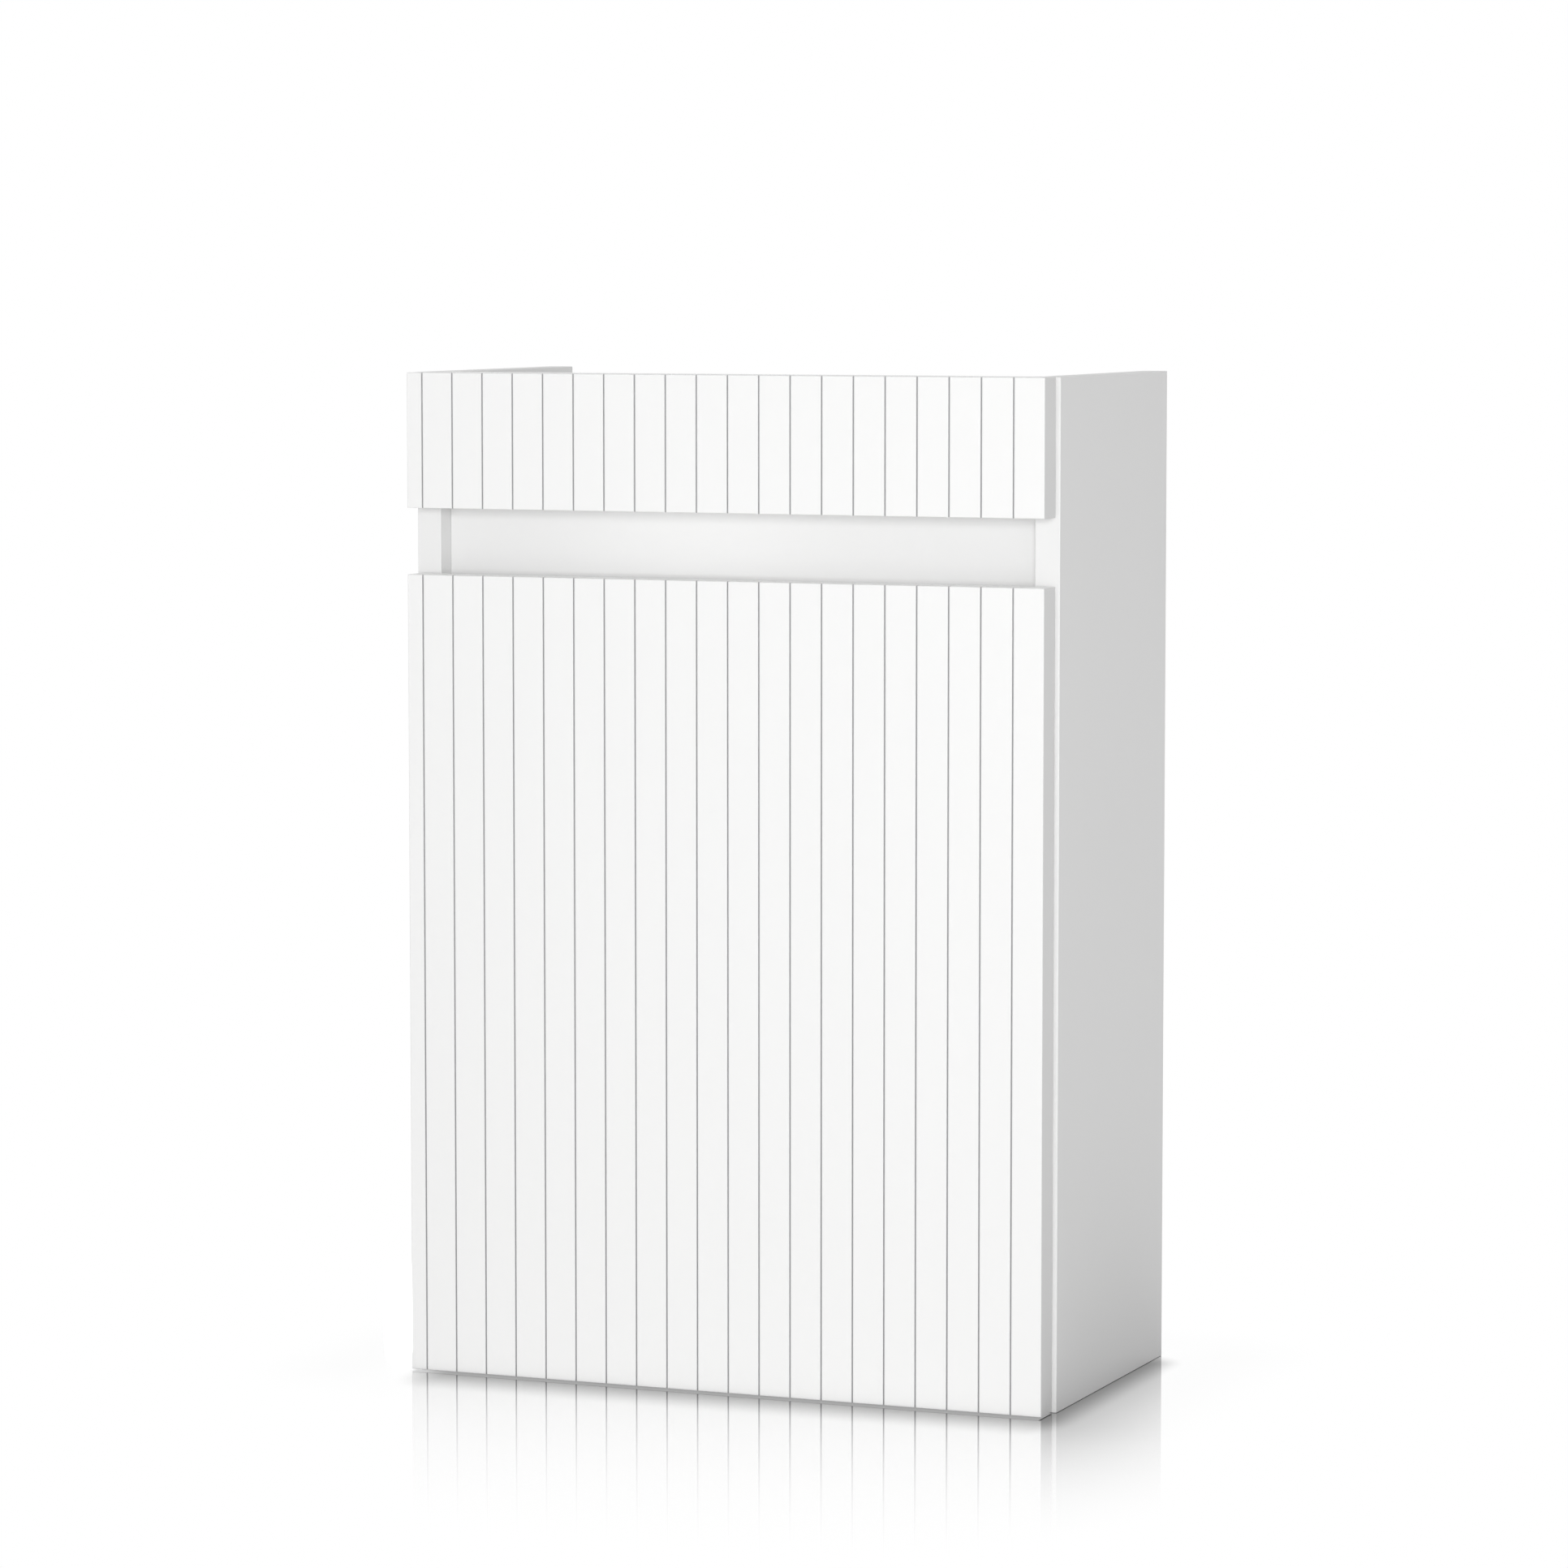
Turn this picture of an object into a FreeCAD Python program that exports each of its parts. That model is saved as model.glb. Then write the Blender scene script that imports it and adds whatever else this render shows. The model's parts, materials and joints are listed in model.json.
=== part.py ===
import FreeCAD, Part
import os

# Cabinet, all sizes in millimetres
cabinet_width = 400.0
cabinet_height = 590.0
cabinet_depth = 210.0
board = 15.0
board_edge_radius = 0.5

# Door and fascia
front_board = 18.0
front_edge_radius = 0.5
side_reveal = 2.5
floor_gap = 0.8
recess_height = 39.0
fascia_height = 79.0

# Grooves in the fronts
groove_width = 1.0
groove_depth = 1.6
groove_pitch = 19.3
groove_margin = 9.8
groove_last_strip = 10.0

# Rails between the sides
recess_rail_drop = 26.0
recess_rail_lap = 20.0
rear_top_rail_height = 80.0
rear_top_rail_drop = 30.0
rear_bottom_rail_height = 70.0
wall_hole_radius = 3.0
wall_hole_spacing = 280.0

# Shelf and its pins
shelf_underside = 230.0
shelf_setback = 20.0
shelf_back_gap = 5.0
shelf_side_gap = 0.5
pin_stem_radius = 2.5
pin_stem_length = 8.0
pin_head_radius = 3.5
pin_head_length = 9.0
pin_inset = 22.0
pin_row_pitch = 32.0
pin_row_count = 5

# Cam fittings and dowels that hold the boards together
cam_radius = 7.5
cam_floor = 3.0
cam_setback = 24.0
cam_slot_width = 1.6
cam_slot_depth = 2.0
bolt_thread_radius = 2.5
bolt_shank_radius = 3.0
bolt_neck_radius = 2.0
bolt_neck_length = 4.0
bolt_head_length = 3.0
bolt_hole_clearance = 0.5
dowel_radius = 4.0
dowel_rail_length = 20.0
bottom_cam_inset = 50.0
bottom_dowel_offset = 25.0
rail_cam_inset = 20.0
rail_dowel_inset = 14.0
side_hole_floor = 3.5
hole_end_spare = 0.5
fitting_clearance = 0.05

# Flush hinges
hinge_end_inset = 70.0
hinge_length = 60.0
leaf_thickness = 1.2
leaf_clearance = 0.3
leaf_corner_radius = 1.5
leaf_bridge = 2.3
door_leaf_width = 9.4
door_leaf_length = 30.0
hinge_pin_radius = 1.15
hinge_pin_clearance = 0.05
hinge_pin_head_radius = 1.9
hinge_pin_head_length = 0.8
hinge_side_margin = 0.1
hinge_notch_room = 0.8
door_leaf_screw_inset = 6.5
frame_leaf_screw_inset = 7.5

# Screws
screw_shank_radius = 1.25
screw_head_radius = 2.4
screw_head_depth = 1.1
screw_length = 12.0
driver_slot_width = 0.7
driver_slot_depth = 0.6
fascia_screw_bite = 11.0
fascia_screw_count = 4
fascia_screw_end_inset = 50.0
fascia_screw_drop = 12.0

# Magnetic catch on the right side panel and its plate on the door
catch_rail_gap = 13.0
catch_width = 13.0
catch_depth = 18.0
catch_body_length = 24.0
catch_ear_length = 11.0
catch_ear_thickness = 3.0
catch_setback = 0.5
catch_screw_inset = 5.5
catch_corner_radius = 1.0
magnet_width = 4.0
magnet_length = 18.0
magnet_depth = 10.0
pole_thickness = 1.2
strike_width = 14.0
strike_length = 38.0
strike_screw_inset = 5.0

# Soft stops on the door's back
bumper_radius = 4.0
bumper_top_radius = 3.0
bumper_rim_height = 0.6
bumper_end_inset = 25.0

# Planes that the pieces share
half_width = cabinet_width / 2
inner_half = half_width - board
front_y = -cabinet_depth / 2
front_back_y = front_y + front_board
leaf_back_y = front_back_y + leaf_thickness
carcass_front_y = leaf_back_y + leaf_clearance
carcass_back_y = cabinet_depth / 2
rail_back_y = front_back_y + board
front_left = side_reveal - half_width
front_right = half_width - side_reveal
fascia_bottom = cabinet_height - fascia_height
door_top = fascia_bottom - recess_height
door_bottom = floor_gap
side_hole_depth = board - side_hole_floor
side_stem_length = side_hole_depth - hole_end_spare
recess_rail_bottom = door_top - recess_rail_drop
recess_rail_top = fascia_bottom + recess_rail_lap
rear_rail_front_y = carcass_back_y - board
rear_top_rail_top = cabinet_height - rear_top_rail_drop
rear_top_rail_bottom = rear_top_rail_top - rear_top_rail_height
rear_bottom_rail_top = board + rear_bottom_rail_height

# Edges this close to a plane or a direction count as lying on it
same_place = 1e-6

os.makedirs("parts", exist_ok=True)


def block(x0, x1, y0, y1, z0, z1):
    return Part.makeBox(x1 - x0, y1 - y0, z1 - z0, FreeCAD.Vector(x0, y0, z0))


def rod(radius, start, direction, length):
    return Part.makeCylinder(radius, length, FreeCAD.Vector(*start), FreeCAD.Vector(*direction))


def placed(solid, start, direction):
    turn = FreeCAD.Rotation(FreeCAD.Vector(0, 0, 1), FreeCAD.Vector(*direction))
    solid.Placement = FreeCAD.Placement(FreeCAD.Vector(*start), turn)
    return solid


# A turned piece, its profile given as (distance along the axis, radius)
def turned(profile, start, direction):
    axis_ends = [FreeCAD.Vector(0, 0, profile[0][0]), FreeCAD.Vector(0, 0, profile[-1][0])]
    points = [FreeCAD.Vector(radius, 0, along) for along, radius in profile]
    outline = axis_ends[:1] + points + axis_ends[1:] + axis_ends[:1]
    face = Part.Face(Part.makePolygon(outline))
    solid = face.revolve(FreeCAD.Vector(0, 0, 0), FreeCAD.Vector(0, 0, 1), 360)
    return placed(solid, start, direction)


def rounded(solid, radius, chosen):
    edges = [edge for edge in solid.Edges if chosen(edge)]
    return solid.makeFillet(radius, edges)


def runs_along(edge, direction):
    ends = edge.Vertexes[1].Point - edge.Vertexes[0].Point
    return ends.normalize().cross(FreeCAD.Vector(*direction)).Length < same_place


def lies_at(edge, axis, place):
    return all(abs(getattr(vertex.Point, axis) - place) < same_place for vertex in edge.Vertexes)


def save(name, solids):
    shape = solids[0] if len(solids) == 1 else Part.makeCompound(solids)
    shape.exportStep("parts/" + name + ".step")


# Holes are collected for each board while its fittings are made
holes = {}


def drill(name, tool):
    holes.setdefault(name, []).append(tool)


def side_name(side):
    return "left_side_panel" if side < 0 else "right_side_panel"


# Grooves run the full height of a front and have round bottoms
def groove_places():
    span = front_right - front_left - groove_margin - groove_last_strip
    count = int(span / groove_pitch) + 1
    return [front_left + groove_margin + i * groove_pitch for i in range(count)]


def groove(x, z0, z1):
    half = groove_width / 2
    mouth_y = front_y - half
    bend_y = front_y + groove_depth - half
    left_mouth = FreeCAD.Vector(x - half, mouth_y, z0)
    left_bend = FreeCAD.Vector(x - half, bend_y, z0)
    bottom = FreeCAD.Vector(x, front_y + groove_depth, z0)
    right_bend = FreeCAD.Vector(x + half, bend_y, z0)
    right_mouth = FreeCAD.Vector(x + half, mouth_y, z0)
    outline = Part.Wire([
        Part.makeLine(left_mouth, left_bend),
        Part.Arc(left_bend, bottom, right_bend).toShape(),
        Part.makeLine(right_bend, right_mouth),
        Part.makeLine(right_mouth, left_mouth),
    ])
    return Part.Face(outline).extrude(FreeCAD.Vector(0, 0, z1 - z0))


def grooved_front(z0, z1):
    panel = block(front_left, front_right, front_y, front_back_y, z0, z1)
    panel = rounded(panel, front_edge_radius, lambda edge: lies_at(edge, "y", front_y))
    return panel.cut([groove(x, z0, z1) for x in groove_places()])


# Cross-shaped driver recess, cut into a head at its start point
def driver_cross(start, direction, length, width, depth):
    first = Part.makeBox(length, width, 2 * depth, FreeCAD.Vector(-length / 2, -width / 2, -depth))
    second = Part.makeBox(width, length, 2 * depth, FreeCAD.Vector(-width / 2, -length / 2, -depth))
    return placed(first.fuse(second), start, direction)


# Countersunk screw, its head level with its start point
def screw(start, direction, length):
    profile = [
        (0, screw_head_radius),
        (screw_head_depth, screw_shank_radius),
        (length, screw_shank_radius),
    ]
    cross_length = 2 * screw_shank_radius
    cross = driver_cross(start, direction, cross_length, driver_slot_width, driver_slot_depth)
    return turned(profile, start, direction).cut(cross)


def screw_room(start, direction, length):
    profile = [
        (0, screw_head_radius + fitting_clearance),
        (screw_head_depth, screw_shank_radius + fitting_clearance),
        (length + hole_end_spare, screw_shank_radius + fitting_clearance),
    ]
    return turned(profile, start, direction)


# Cam, bolt and dowel joints between a board's ends and the two sides
cam_locks = []
cam_bolts = []
wood_dowels = []


def cam_joint(board_name, y, z, pocket_direction):
    into = FreeCAD.Vector(*pocket_direction)
    hole_radius = bolt_shank_radius + bolt_hole_clearance
    thread_radius = bolt_thread_radius - fitting_clearance
    bolt_length = cam_setback + bolt_head_length
    cam_height = board - cam_floor
    profile = [
        (-side_stem_length, thread_radius),
        (0, thread_radius),
        (0, bolt_shank_radius),
        (cam_setback - bolt_neck_length, bolt_shank_radius),
        (cam_setback - bolt_neck_length, bolt_neck_radius),
        (cam_setback, bolt_neck_radius),
        (cam_setback, bolt_shank_radius),
        (bolt_length, bolt_shank_radius),
    ]
    for side in (-1, 1):
        panel_face = (side * inner_half, y, z)
        inward = (-side, 0, 0)
        outward = (side, 0, 0)
        bolt_room = rod(hole_radius, panel_face, inward, bolt_length + bolt_hole_clearance)
        mouth = FreeCAD.Vector(side * (inner_half - cam_setback), y, z) - into * (board / 2)
        drill(side_name(side), rod(bolt_thread_radius, panel_face, outward, side_hole_depth))
        drill(board_name, bolt_room)
        drill(board_name, rod(cam_radius, mouth, into, cam_height))
        cam = rod(cam_radius - fitting_clearance, mouth, into, cam_height)
        cross = driver_cross(mouth, pocket_direction, cam_radius, cam_slot_width, cam_slot_depth)
        cam_locks.append(cam.cut([bolt_room, cross]))
        cam_bolts.append(turned(profile, panel_face, inward))


def dowel_joint(board_name, y, z):
    dowel_length = side_stem_length + dowel_rail_length
    room_length = dowel_length + 2 * hole_end_spare
    for side in (-1, 1):
        inward = (-side, 0, 0)
        dowel_start = (side * (inner_half + side_stem_length), y, z)
        room_start = (side * (inner_half + side_hole_depth), y, z)
        room = rod(dowel_radius, room_start, inward, room_length)
        drill(side_name(side), room)
        drill(board_name, room)
        wood_dowels.append(rod(dowel_radius - fitting_clearance, dowel_start, inward, dowel_length))


fascia_rail_mid_y = front_back_y + board / 2
fascia_rail_cam_z = (recess_rail_top + cabinet_height) / 2
recess_rail_mid_y = rail_back_y + board / 2
recess_rail_mid_z = (recess_rail_bottom + recess_rail_top) / 2
rear_rail_mid_y = rear_rail_front_y + board / 2

for cam_y in (carcass_front_y + bottom_cam_inset, carcass_back_y - bottom_cam_inset):
    cam_joint("bottom_panel", cam_y, board / 2, (0, 0, 1))
    dowel_joint("bottom_panel", cam_y + bottom_dowel_offset, board / 2)
cam_joint("fascia_rail", fascia_rail_mid_y, fascia_rail_cam_z, (0, -1, 0))
dowel_joint("fascia_rail", fascia_rail_mid_y, fascia_bottom + rail_dowel_inset)
cam_joint("recess_rail", recess_rail_mid_y, recess_rail_mid_z, (0, -1, 0))
dowel_joint("recess_rail", recess_rail_mid_y, recess_rail_bottom + rail_dowel_inset)
for rail_name, rail_bottom, rail_top in (
        ("rear_top_rail", rear_top_rail_bottom, rear_top_rail_top),
        ("rear_bottom_rail", board, rear_bottom_rail_top)):
    cam_joint(rail_name, rear_rail_mid_y, rail_bottom + rail_cam_inset, (0, 1, 0))
    dowel_joint(rail_name, rear_rail_mid_y, rail_top - rail_dowel_inset)

# Wall screw holes through the rear top rail
wall_hole_z = (rear_top_rail_bottom + rear_top_rail_top) / 2
for side in (-1, 1):
    wall_hole = (side * wall_hole_spacing / 2, rear_rail_front_y, wall_hole_z)
    drill("rear_top_rail", rod(wall_hole_radius, wall_hole, (0, 1, 0), board))

# Shelf on pins, with spare holes above and below
shelf_front_y = carcass_front_y + shelf_setback
shelf_back_y = rear_rail_front_y - shelf_back_gap
shelf_half = inner_half - shelf_side_gap
shelf = block(-shelf_half, shelf_half, shelf_front_y, shelf_back_y, shelf_underside, shelf_underside + board)
shelf = rounded(
    shelf, board_edge_radius,
    lambda edge: lies_at(edge, "y", shelf_front_y) and runs_along(edge, (1, 0, 0)))
save("adjustable_shelf", [shelf])

shelf_pin_z = shelf_underside - pin_head_radius
shelf_pin_profile = [
    (-pin_stem_length, pin_stem_radius - fitting_clearance),
    (0, pin_stem_radius - fitting_clearance),
    (0, pin_head_radius),
    (pin_head_length, pin_head_radius),
]
shelf_pins = []
for side in (-1, 1):
    for pin_y in (shelf_front_y + pin_inset, shelf_back_y - pin_inset):
        shelf_pins.append(turned(shelf_pin_profile, (side * inner_half, pin_y, shelf_pin_z), (-side, 0, 0)))
        for row in range(pin_row_count):
            hole_z = shelf_pin_z + (row - pin_row_count // 2) * pin_row_pitch
            hole_start = (side * inner_half, pin_y, hole_z)
            hole = rod(pin_stem_radius, hole_start, (side, 0, 0), pin_stem_length + hole_end_spare)
            drill(side_name(side), hole)

# Flush hinge: the door leaf nests in the frame leaf's window and both curl round one pin
bore_radius = hinge_pin_radius + hinge_pin_clearance
knuckle_radius = bore_radius + leaf_thickness
notch_reach = knuckle_radius + hinge_notch_room
hinge_axis_x = knuckle_radius + hinge_side_margin - half_width
hinge_axis_y = leaf_back_y - knuckle_radius
hinge_half = hinge_length / 2
door_leaf_half = door_leaf_length / 2
window_half = door_leaf_half + leaf_clearance
window_width = door_leaf_width + leaf_clearance
frame_leaf_width = window_width + leaf_bridge
frame_leaf_front_y = carcass_front_y - leaf_thickness
leaf_screw_x = hinge_axis_x + (notch_reach + door_leaf_width) / 2


def hinge_column(radius, z0, z1):
    return rod(radius, (hinge_axis_x, hinge_axis_y, z0), (0, 0, 1), z1 - z0)


def leaf_plate(width, y0, z0, z1):
    far_x = hinge_axis_x + width
    plate = block(hinge_axis_x, far_x, y0, y0 + leaf_thickness, z0, z1)
    return rounded(
        plate, leaf_corner_radius,
        lambda edge: runs_along(edge, (0, 1, 0)) and lies_at(edge, "x", far_x))


def frame_leaf(z):
    low = z - hinge_half
    high = z + hinge_half
    window = block(
        hinge_axis_x, hinge_axis_x + window_width, hinge_axis_y, carcass_front_y,
        z - window_half, z + window_half)
    leaf = leaf_plate(frame_leaf_width, frame_leaf_front_y, low, high).cut(window)
    leaf = leaf.fuse([
        hinge_column(knuckle_radius, low, z - window_half),
        hinge_column(knuckle_radius, z + window_half, high),
    ])
    return leaf.cut(hinge_column(bore_radius, low, high)).removeSplitter()


def door_leaf(z):
    low = z - door_leaf_half
    high = z + door_leaf_half
    leaf = leaf_plate(door_leaf_width, front_back_y, low, high).fuse(hinge_column(knuckle_radius, low, high))
    return leaf.cut(hinge_column(bore_radius, low, high)).removeSplitter()


def hinge_pin(z):
    reach = hinge_half + hinge_pin_head_length
    profile = [
        (-reach, hinge_pin_head_radius),
        (-hinge_half, hinge_pin_head_radius),
        (-hinge_half, hinge_pin_radius),
        (hinge_half, hinge_pin_radius),
        (hinge_half, hinge_pin_head_radius),
        (reach, hinge_pin_head_radius),
    ]
    return turned(profile, (hinge_axis_x, hinge_axis_y, z), (0, 0, 1))


def hinge_notch(z):
    half = hinge_half + hinge_pin_head_length + hinge_notch_room
    return block(
        front_left, hinge_axis_x + notch_reach, hinge_axis_y - notch_reach, front_back_y, z - half, z + half)


hinge_pins = []
frame_leaf_screws = []
door_leaf_screws = []
frame_screw_offset = hinge_half - frame_leaf_screw_inset
door_screw_offset = door_leaf_half - door_leaf_screw_inset
hinge_places = {"lower": door_bottom + hinge_end_inset, "upper": door_top - hinge_end_inset}
for place, hinge_z in hinge_places.items():
    drill("door", hinge_notch(hinge_z))
    hinge_pins.append(hinge_pin(hinge_z))
    frame_rooms = []
    door_rooms = []
    for end in (-1, 1):
        frame_start = (leaf_screw_x, frame_leaf_front_y, hinge_z + end * frame_screw_offset)
        frame_leaf_screws.append(screw(frame_start, (0, 1, 0), screw_length))
        frame_rooms.append(screw_room(frame_start, (0, 1, 0), screw_length))
        door_start = (leaf_screw_x, leaf_back_y, hinge_z + end * door_screw_offset)
        door_leaf_screws.append(screw(door_start, (0, -1, 0), screw_length))
        door_rooms.append(screw_room(door_start, (0, -1, 0), screw_length))
    for room in frame_rooms:
        drill("left_side_panel", room)
    for room in door_rooms:
        drill("door", room)
    save(place + "_hinge_frame_leaf", [frame_leaf(hinge_z).cut(frame_rooms)])
    save(place + "_hinge_door_leaf", [door_leaf(hinge_z).cut(door_rooms)])

# Fascia screws come from inside, through the fascia rail
fascia_screw_length = board + fascia_screw_bite
fascia_screw_span = 2 * (inner_half - fascia_screw_end_inset)
fascia_screws = []
for i in range(fascia_screw_count):
    fascia_screw_x = (i / (fascia_screw_count - 1) - 0.5) * fascia_screw_span
    fascia_screw_start = (fascia_screw_x, rail_back_y, cabinet_height - fascia_screw_drop)
    fascia_screws.append(screw(fascia_screw_start, (0, -1, 0), fascia_screw_length))
    for name in ("fascia_rail", "top_fascia"):
        drill(name, screw_room(fascia_screw_start, (0, -1, 0), fascia_screw_length))

# Magnetic catch: a housing with ears, and a magnet between two steel poles that reach the carcass front
catch_half = catch_body_length / 2
ear_half = catch_half + catch_ear_length
catch_z = recess_rail_bottom - catch_rail_gap - ear_half
catch_x = inner_half - catch_width
catch_mid_x = inner_half - catch_width / 2
ear_x = inner_half - catch_ear_thickness
catch_front_y = carcass_front_y + catch_setback
catch_back_y = catch_front_y + catch_depth
magnet_half = magnet_length / 2
magnet_back_y = catch_front_y + magnet_depth
magnet_low = catch_z - magnet_half
magnet_high = catch_z + magnet_half
pole_half = magnet_width / 2 + pole_thickness

catch_body = block(
    catch_x, inner_half, catch_front_y, catch_back_y, catch_z - catch_half, catch_z + catch_half)
catch_body = rounded(catch_body, catch_corner_radius, lambda edge: lies_at(edge, "x", catch_x))
catch_ears = block(ear_x, inner_half, catch_front_y, catch_back_y, catch_z - ear_half, catch_z + ear_half)
magnet_room = block(
    catch_mid_x - pole_half, catch_mid_x + pole_half, catch_front_y, magnet_back_y, magnet_low, magnet_high)
catch_rooms = [magnet_room]
catch_screws = []
for end in (-1, 1):
    catch_screw_z = catch_z + end * (ear_half - catch_screw_inset)
    catch_screw_start = (ear_x, (catch_front_y + catch_back_y) / 2, catch_screw_z)
    catch_screws.append(screw(catch_screw_start, (1, 0, 0), screw_length))
    catch_rooms.append(screw_room(catch_screw_start, (1, 0, 0), screw_length))
    drill("right_side_panel", screw_room(catch_screw_start, (1, 0, 0), screw_length))
catch_housing = catch_body.fuse(catch_ears).removeSplitter().cut(catch_rooms)
save("catch_housing", [catch_housing])
save("catch_screws", catch_screws)

catch_magnet = block(
    catch_mid_x - magnet_width / 2, catch_mid_x + magnet_width / 2, catch_front_y, magnet_back_y,
    magnet_low, magnet_high)
save("catch_magnet", [catch_magnet])
catch_poles = []
for pole_x in (catch_mid_x - pole_half, catch_mid_x + magnet_width / 2):
    catch_poles.append(block(
        pole_x, pole_x + pole_thickness, carcass_front_y, magnet_back_y, magnet_low, magnet_high))
save("catch_poles", catch_poles)

# Strike plate on the door, opposite the poles
strike_half = strike_length / 2
strike_plate = block(
    catch_mid_x - strike_width / 2, catch_mid_x + strike_width / 2, front_back_y, leaf_back_y,
    catch_z - strike_half, catch_z + strike_half)
strike_plate = rounded(strike_plate, leaf_corner_radius, lambda edge: runs_along(edge, (0, 1, 0)))
strike_rooms = []
strike_screws = []
for end in (-1, 1):
    strike_screw_start = (catch_mid_x, leaf_back_y, catch_z + end * (strike_half - strike_screw_inset))
    strike_screws.append(screw(strike_screw_start, (0, -1, 0), screw_length))
    strike_rooms.append(screw_room(strike_screw_start, (0, -1, 0), screw_length))
    drill("door", screw_room(strike_screw_start, (0, -1, 0), screw_length))
save("strike_plate", [strike_plate.cut(strike_rooms)])
save("strike_screws", strike_screws)

# Soft stops that meet the right side's edge, as high as the hinge leaf is thick, with tapered tops
bumper_x = (inner_half + front_right) / 2
bumper_profile = [(0, bumper_radius), (bumper_rim_height, bumper_radius), (leaf_thickness, bumper_top_radius)]
door_bumpers = []
for bumper_z in (door_bottom + bumper_end_inset, door_top - bumper_end_inset):
    door_bumpers.append(turned(bumper_profile, (bumper_x, front_back_y, bumper_z), (0, 1, 0)))
save("door_bumpers", door_bumpers)


# Boards, each drilled for its fittings
def side_panel(side):
    inner = side * inner_half
    outer = side * half_width
    panel = block(min(inner, outer), max(inner, outer), carcass_front_y, carcass_back_y, 0, cabinet_height)
    return rounded(
        panel, board_edge_radius,
        lambda edge: lies_at(edge, "y", carcass_front_y) and runs_along(edge, (0, 0, 1)))


def cross_board(y0, y1, z0, z1):
    return block(-inner_half, inner_half, y0, y1, z0, z1)


boards = {
    "left_side_panel": side_panel(-1),
    "right_side_panel": side_panel(1),
    "bottom_panel": cross_board(carcass_front_y, carcass_back_y, 0, board),
    "fascia_rail": cross_board(front_back_y, rail_back_y, fascia_bottom, cabinet_height),
    "recess_rail": cross_board(rail_back_y, rail_back_y + board, recess_rail_bottom, recess_rail_top),
    "rear_top_rail": cross_board(rear_rail_front_y, carcass_back_y, rear_top_rail_bottom, rear_top_rail_top),
    "rear_bottom_rail": cross_board(rear_rail_front_y, carcass_back_y, board, rear_bottom_rail_top),
    "top_fascia": grooved_front(fascia_bottom, cabinet_height),
    "door": grooved_front(door_bottom, door_top),
}
for name, plain in boards.items():
    save(name, [plain.cut(holes[name])])
save("shelf_pins", shelf_pins)
save("cam_locks", cam_locks)
save("cam_bolts", cam_bolts)
save("wood_dowels", wood_dowels)
save("hinge_pins", hinge_pins)
save("frame_leaf_screws", frame_leaf_screws)
save("door_leaf_screws", door_leaf_screws)
save("fascia_screws", fascia_screws)
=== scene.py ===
import json
import math

import bmesh
import bpy
import numpy as np
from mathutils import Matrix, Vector


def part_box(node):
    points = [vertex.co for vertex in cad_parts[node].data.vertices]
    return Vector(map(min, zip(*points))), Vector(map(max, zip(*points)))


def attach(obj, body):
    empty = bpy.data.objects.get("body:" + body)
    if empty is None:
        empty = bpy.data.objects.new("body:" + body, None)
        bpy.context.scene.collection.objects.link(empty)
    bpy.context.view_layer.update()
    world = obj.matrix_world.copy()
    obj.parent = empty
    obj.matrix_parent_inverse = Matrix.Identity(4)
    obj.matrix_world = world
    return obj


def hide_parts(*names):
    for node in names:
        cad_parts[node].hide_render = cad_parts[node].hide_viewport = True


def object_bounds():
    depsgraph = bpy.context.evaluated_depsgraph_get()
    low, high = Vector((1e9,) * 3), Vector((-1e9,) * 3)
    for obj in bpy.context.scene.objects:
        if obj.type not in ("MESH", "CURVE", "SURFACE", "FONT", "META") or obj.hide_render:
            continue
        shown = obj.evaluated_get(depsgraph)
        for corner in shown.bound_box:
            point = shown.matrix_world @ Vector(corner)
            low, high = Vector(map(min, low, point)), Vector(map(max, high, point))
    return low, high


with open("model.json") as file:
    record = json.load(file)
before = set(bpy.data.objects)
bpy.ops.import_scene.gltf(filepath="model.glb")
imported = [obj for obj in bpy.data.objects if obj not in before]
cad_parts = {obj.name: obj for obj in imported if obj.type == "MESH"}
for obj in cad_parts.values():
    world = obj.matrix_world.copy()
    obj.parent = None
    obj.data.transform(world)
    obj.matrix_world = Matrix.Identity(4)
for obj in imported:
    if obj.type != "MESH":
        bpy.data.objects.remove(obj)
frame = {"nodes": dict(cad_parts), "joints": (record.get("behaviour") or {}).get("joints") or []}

mm = 0.001
cadLow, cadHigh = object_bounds()  # the CAD box
scene = bpy.context.scene
scene.view_settings.view_transform = "Standard"

# Detail of a noise pattern, and the value that it swings about
softNoise = 2.0
fineNoise = 3.0
crumbNoise = 4.0
noiseMean = 0.5


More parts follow.
